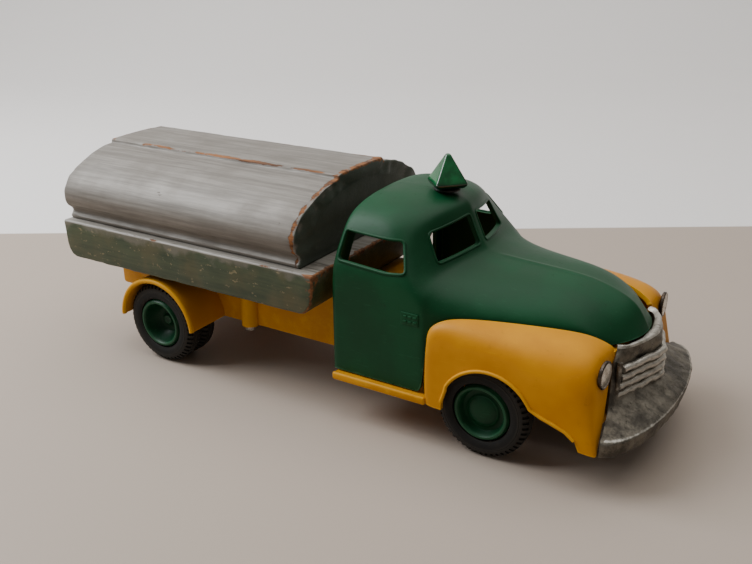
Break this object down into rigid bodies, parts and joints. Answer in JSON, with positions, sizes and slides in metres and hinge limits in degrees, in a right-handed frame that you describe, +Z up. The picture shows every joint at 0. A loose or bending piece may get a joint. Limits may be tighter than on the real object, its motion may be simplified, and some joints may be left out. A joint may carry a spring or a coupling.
{
  "type": "toy tanker truck",
  "caption": "Free-rolling toy lorry with a moulded cab on a moulded chassis, a cast front mask and a wooden half-round tank body.",
  "frame": {"origin": "on the ground, under the middle of the overall length and width", "axes": "+X forward, towards the bonnet; +Y towards the truck's left side; +Z up"},
  "size_m": [0.2363, 0.0862, 0.0881],
  "materials": {
    "yellow_moulding": "semi-gloss moulded",
    "green_moulding": "semi-gloss moulded",
    "hub_plastic": "satin moulded",
    "cast_metal": "dull cast with worn bars",
    "bright_stud": "worn bright",
    "lamp_plastic": "clear gloss",
    "black_plastic": "matt",
    "deck_paint": "worn green and silver paint",
    "silver_paint": "worn silver paint",
    "rubber": "matt",
    "steel": "plain wire and screws"
  },
  "bodies": {
    "root": {"chassis": "yellow_moulding", "mudguard_right": "yellow_moulding", "mudguard_left": "yellow_moulding", "cab_shell": "green_moulding", "mask": "cast_metal", "mask_screw_right": "steel", "mask_screw_left": "steel", "headlight_right": "bright_stud", "headlight_left": "bright_stud", "roof_lamp": "lamp_plastic", "lamp_peg": "black_plastic", "cab_screw_front": "steel", "cab_screw_right": "steel", "cab_screw_left": "steel", "deck_board": "deck_paint", "deck_screw_right": "steel", "deck_screw_left": "steel", "tank_body": "silver_paint"},
    "front_wheelset": {"axle_front": "steel", "hub_front_right": "hub_plastic", "hub_front_left": "hub_plastic", "tyre_front_right": "rubber", "tyre_front_left": "rubber"},
    "rear_wheelset": {"axle_rear": "steel", "hub_rear_right": "hub_plastic", "hub_rear_left": "hub_plastic", "tyre_rear_outer_right": "rubber", "tyre_rear_outer_left": "rubber", "tyre_rear_inner_right": "rubber", "tyre_rear_inner_left": "rubber"}
  },
  "joints": [
    {"name": "front_axle_spin", "type": "hinge", "parent": "root", "child": "front_wheelset", "pos_m": [0.0653, 0, 0.016], "axis": [0, 1, 0], "continuous": true},
    {"name": "rear_axle_spin", "type": "hinge", "parent": "root", "child": "rear_wheelset", "pos_m": [-0.0724, 0, 0.016], "axis": [0, 1, 0], "continuous": true}
  ]
}
